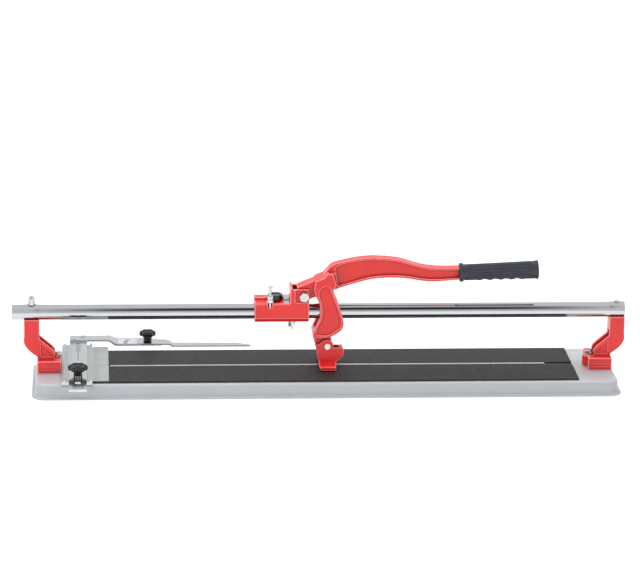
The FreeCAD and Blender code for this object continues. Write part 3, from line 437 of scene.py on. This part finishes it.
low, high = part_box("grip")
along = Vector((math.cos(GRIP_TILT), 0, math.sin(GRIP_TILT)))
side = Vector((0, 1, 0))
up = Vector((-math.sin(GRIP_TILT), 0, math.cos(GRIP_TILT)))
start = Vector((low.x + 0.4 * MM, 0,
                (low.z + high.z) / 2 - math.sin(GRIP_TILT) * GRIP_LENGTH * MM / 2))
# stations along the grip: close together over the collars, even between them
stations = ([0, 0.4, 0.8, 2, 4, 5, 5.5, 6, 6.5, 7, 8, 9, 10, 11]
            + [12 + i * 1.5 for i in range(66)]
            + [111, 112.5, 114, 115, 115.8, 116.4, 116.8, 117.2, 118, 118.8, 119.2, 119.6,
               GRIP_LENGTH])
rings = []
for t in stations:
    ring = []
    for i in range(AROUND):
        angle = 2 * math.pi * i / AROUND
        reach = grip_radius(t, angle) * MM
        ring.append(start + along * (t * MM) + side * (reach * math.cos(angle))
                    + up * (reach * math.sin(angle)))
    rings.append(ring)
new_piece("grip_sleeve", skin(rings), "grip_rubber", "handle", ["grip"])

# ------------------------------------------- machined face between the knob and the wall
low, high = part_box("guide_rail")
rail_axis = (low.z + high.z) / 2
FACE_SPAN = (-64.4 * MM, -54.8 * MM)
# ledge in front, riser, and top at the back, as (y, height above the rail's axis) in mm
FACE_PROFILE = [(-17.2, 17.0), (-0.4, 18.6), (-0.4, 21.2), (0.5, 22.0), (16.4, 22.0),
                (16.4, 16.0), (-17.2, 15.0)]
rings = [[(x, y * MM, rail_axis + z * MM) for y, z in FACE_PROFILE] for x in FACE_SPAN]
machined = new_piece("machined_face", skin(rings), "steel", "carriage", smooth=False)
crisp(machined, 0.4 * MM)

# -------------------------------------------------------------- scale marks and labels
INK = 0.06 * MM


def mark(x0, x1, y0, y1, z):
    """Lowest and highest corner of one flat mark that lies on the height z."""
    return (x0, y0, z), (x1, y1, z + INK)


def strips(name, boxes, material, body):
    """Thin printed marks, each a box given by its lowest and highest corner."""
    mesh = bmesh.new()
    for lowest, highest in boxes:
        made = bmesh.ops.create_cube(mesh, size=1.0)
        size = Vector(highest) - Vector(lowest)
        middle = (Vector(highest) + Vector(lowest)) / 2
        bmesh.ops.scale(mesh, vec=size, verts=made["verts"])
        bmesh.ops.translate(mesh, vec=middle, verts=made["verts"])
    return new_piece(name, mesh, material, body, smooth=False)


# ticks every 5 mm, every second one longer, and a line under the rail
low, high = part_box("scale_plate")
marks = []
for i in range(34):
    x, y = low.x + 3 * MM, low.y + 4 * MM + i * 5 * MM
    reach = 9 * MM if i % 2 == 0 else 5 * MM
    marks.append(mark(x, x + reach, y - 0.15 * MM, y + 0.15 * MM, high.z))
marks.append(mark(low.x + 1 * MM, high.x - 1 * MM, -0.4 * MM, 0.4 * MM, high.z))
strips("plate_scale", marks, "ink", "frame")

# a line along the stop bar, and ticks across it towards the back
low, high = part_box("fence_bar")
middle = (low.x + high.x) / 2
marks = [mark(middle - 0.5 * MM, middle + 0.5 * MM, 14 * MM, 60 * MM, high.z)]
for i in range(9):
    y = 58 * MM + i * 4 * MM
    reach = 4.5 * MM if i % 2 == 0 else 3 * MM
    marks.append(mark(middle - reach, middle + reach, y, y + 0.9 * MM, high.z))
strips("bar_scale", marks, "ink", "fence")

# a label on the fence arm, with marks round the pivot of the pointer
ARM_TOP = 28.6 * MM
PIVOT_X, PIVOT_Y = -267 * MM, 108 * MM
MARK_RADIUS = 34 * MM
strips("arm_label", [mark(-312 * MM, -283 * MM, 104 * MM, 132 * MM, ARM_TOP)], "pale_label",
       "fence")
marks = []
for i in range(13):
    angle = math.radians(150 + i * 5)
    x = PIVOT_X + MARK_RADIUS * math.cos(angle)
    y = PIVOT_Y + MARK_RADIUS * math.sin(angle)
    if 105 * MM < y < 131 * MM and x > -311 * MM:
        marks.append(mark(x - 3.2 * MM, x + 3.2 * MM, y - 0.7 * MM, y + 0.7 * MM, ARM_TOP + INK))
strips("arm_scale", marks, "ink", "fence")

# ------------------------------------------------------------------ floor, light, view
floor_shader = Shader("studio_floor")
floor_shader.colour(floor_shader.ramp(floor_shader.noise(3), [(0.3, (0.30, 0.30, 0.30)),
                                                              (0.7, (0.32, 0.32, 0.32))]))
floor_shader.put(Roughness=0.9, Specular_IOR_Level=0.1, Emission_Color=(1, 1, 1, 1),
                 Emission_Strength=0.79)
floor_mesh = bmesh.new()
bmesh.ops.create_grid(floor_mesh, x_segments=2, y_segments=2, size=40)
mesh = bpy.data.meshes.new("floor")
floor_mesh.to_mesh(mesh)
floor_mesh.free()
floor = bpy.data.objects.new("floor", mesh)
floor.location.z = -0.2 * MM
mesh.materials.append(floor_shader.material)
bpy.context.scene.collection.objects.link(floor)


def area_light(name, place, target, width, height, power):
    """A rectangular light that faces its target."""
    data = bpy.data.lights.new(name, "AREA")
    data.shape = "RECTANGLE"
    data.size = width
    data.size_y = height
    data.energy = power
    lamp = bpy.data.objects.new(name, data)
    lamp.location = place
    direction = Vector(target) - Vector(place)
    lamp.rotation_euler = direction.to_track_quat("-Z", "Y").to_euler()
    bpy.context.scene.collection.objects.link(lamp)
    return lamp


overhead = area_light("overhead", (-0.3, 0.65, 2.2), (-0.3, 0.65, 0), 3.0, 2.0, 70)
front_left = area_light("front_left", (-1.5, -2.6, 0.55), (-0.3, 0, 0.06), 1.2, 0.9, 25)
area_light("front_right", (1.7, -2.3, 0.55), (0, 0, 0.06), 1.0, 0.8, 3.5)
for lamp in (overhead, front_left):
    lamp.visible_glossy = False

world = bpy.data.worlds.new("studio")
bpy.context.scene.world = world
world.use_nodes = True
studio = Graph(world.node_tree, "Generated")
split = studio.add("ShaderNodeSeparateXYZ")
studio.link(studio.where, split.inputs["Vector"])


def brightness(axis, start, end, levels):
    """Light and dark bands of the studio along one axis, from start to end."""
    spread = studio.rescale(split.outputs[axis], start, end)
    return studio.ramp(spread, [(place, (level, level, level)) for place, level in levels])


# a dark ceiling panel in front of the cutter, between pale walls
height = brightness("Z", 0, 1, [(0.15, 0.0), (0.39, 0.35), (0.61, 0.82), (0.70, 0.79),
                                (0.82, 0.79), (0.927, 0.5), (0.985, 0.0)])
front = brightness("Y", -1, 1, [(0.44, 1.0), (0.5, 0.0)])
width = brightness("X", -0.1, 0.3, [(0.2, 0.0), (0.275, 1.0), (0.592, 1.0), (0.645, 0.0)])
panel = studio.mix(studio.mix(height, front, "MULTIPLY"), width, "MULTIPLY")
walls = brightness("Z", 0, 1, [(0.0, 0.82), (0.6, 0.80), (0.9, 0.86)])
studio.link(studio.mix(walls, panel, "SUBTRACT"),
            studio.tree.nodes["Background"].inputs["Color"])

YAW, PITCH, ROLL = (math.radians(a) for a in (4.161, 15.608, 0.846))
TARGET = Vector((-0.00945, 0, 0.14922))
DISTANCE = 4.8775
forward = Vector((math.sin(YAW) * math.cos(PITCH), math.cos(YAW) * math.cos(PITCH),
                  -math.sin(PITCH)))
level = Vector((math.cos(YAW), -math.sin(YAW), 0))
upright = level.cross(forward)
right = level * math.cos(ROLL) + upright * math.sin(ROLL)
above = upright * math.cos(ROLL) - level * math.sin(ROLL)
camera_data = bpy.data.cameras.new("camera")
camera_data.sensor_width = 36
camera_data.lens = 182.2
camera_data.clip_end = 100
camera = bpy.data.objects.new("camera", camera_data)
camera.matrix_world = Matrix.Translation(TARGET - forward * DISTANCE) @ Matrix(
    (right, above, -forward)).transposed().to_4x4()
bpy.context.scene.collection.objects.link(camera)
bpy.context.scene.camera = camera
bpy.context.scene.view_settings.view_transform = "Standard"
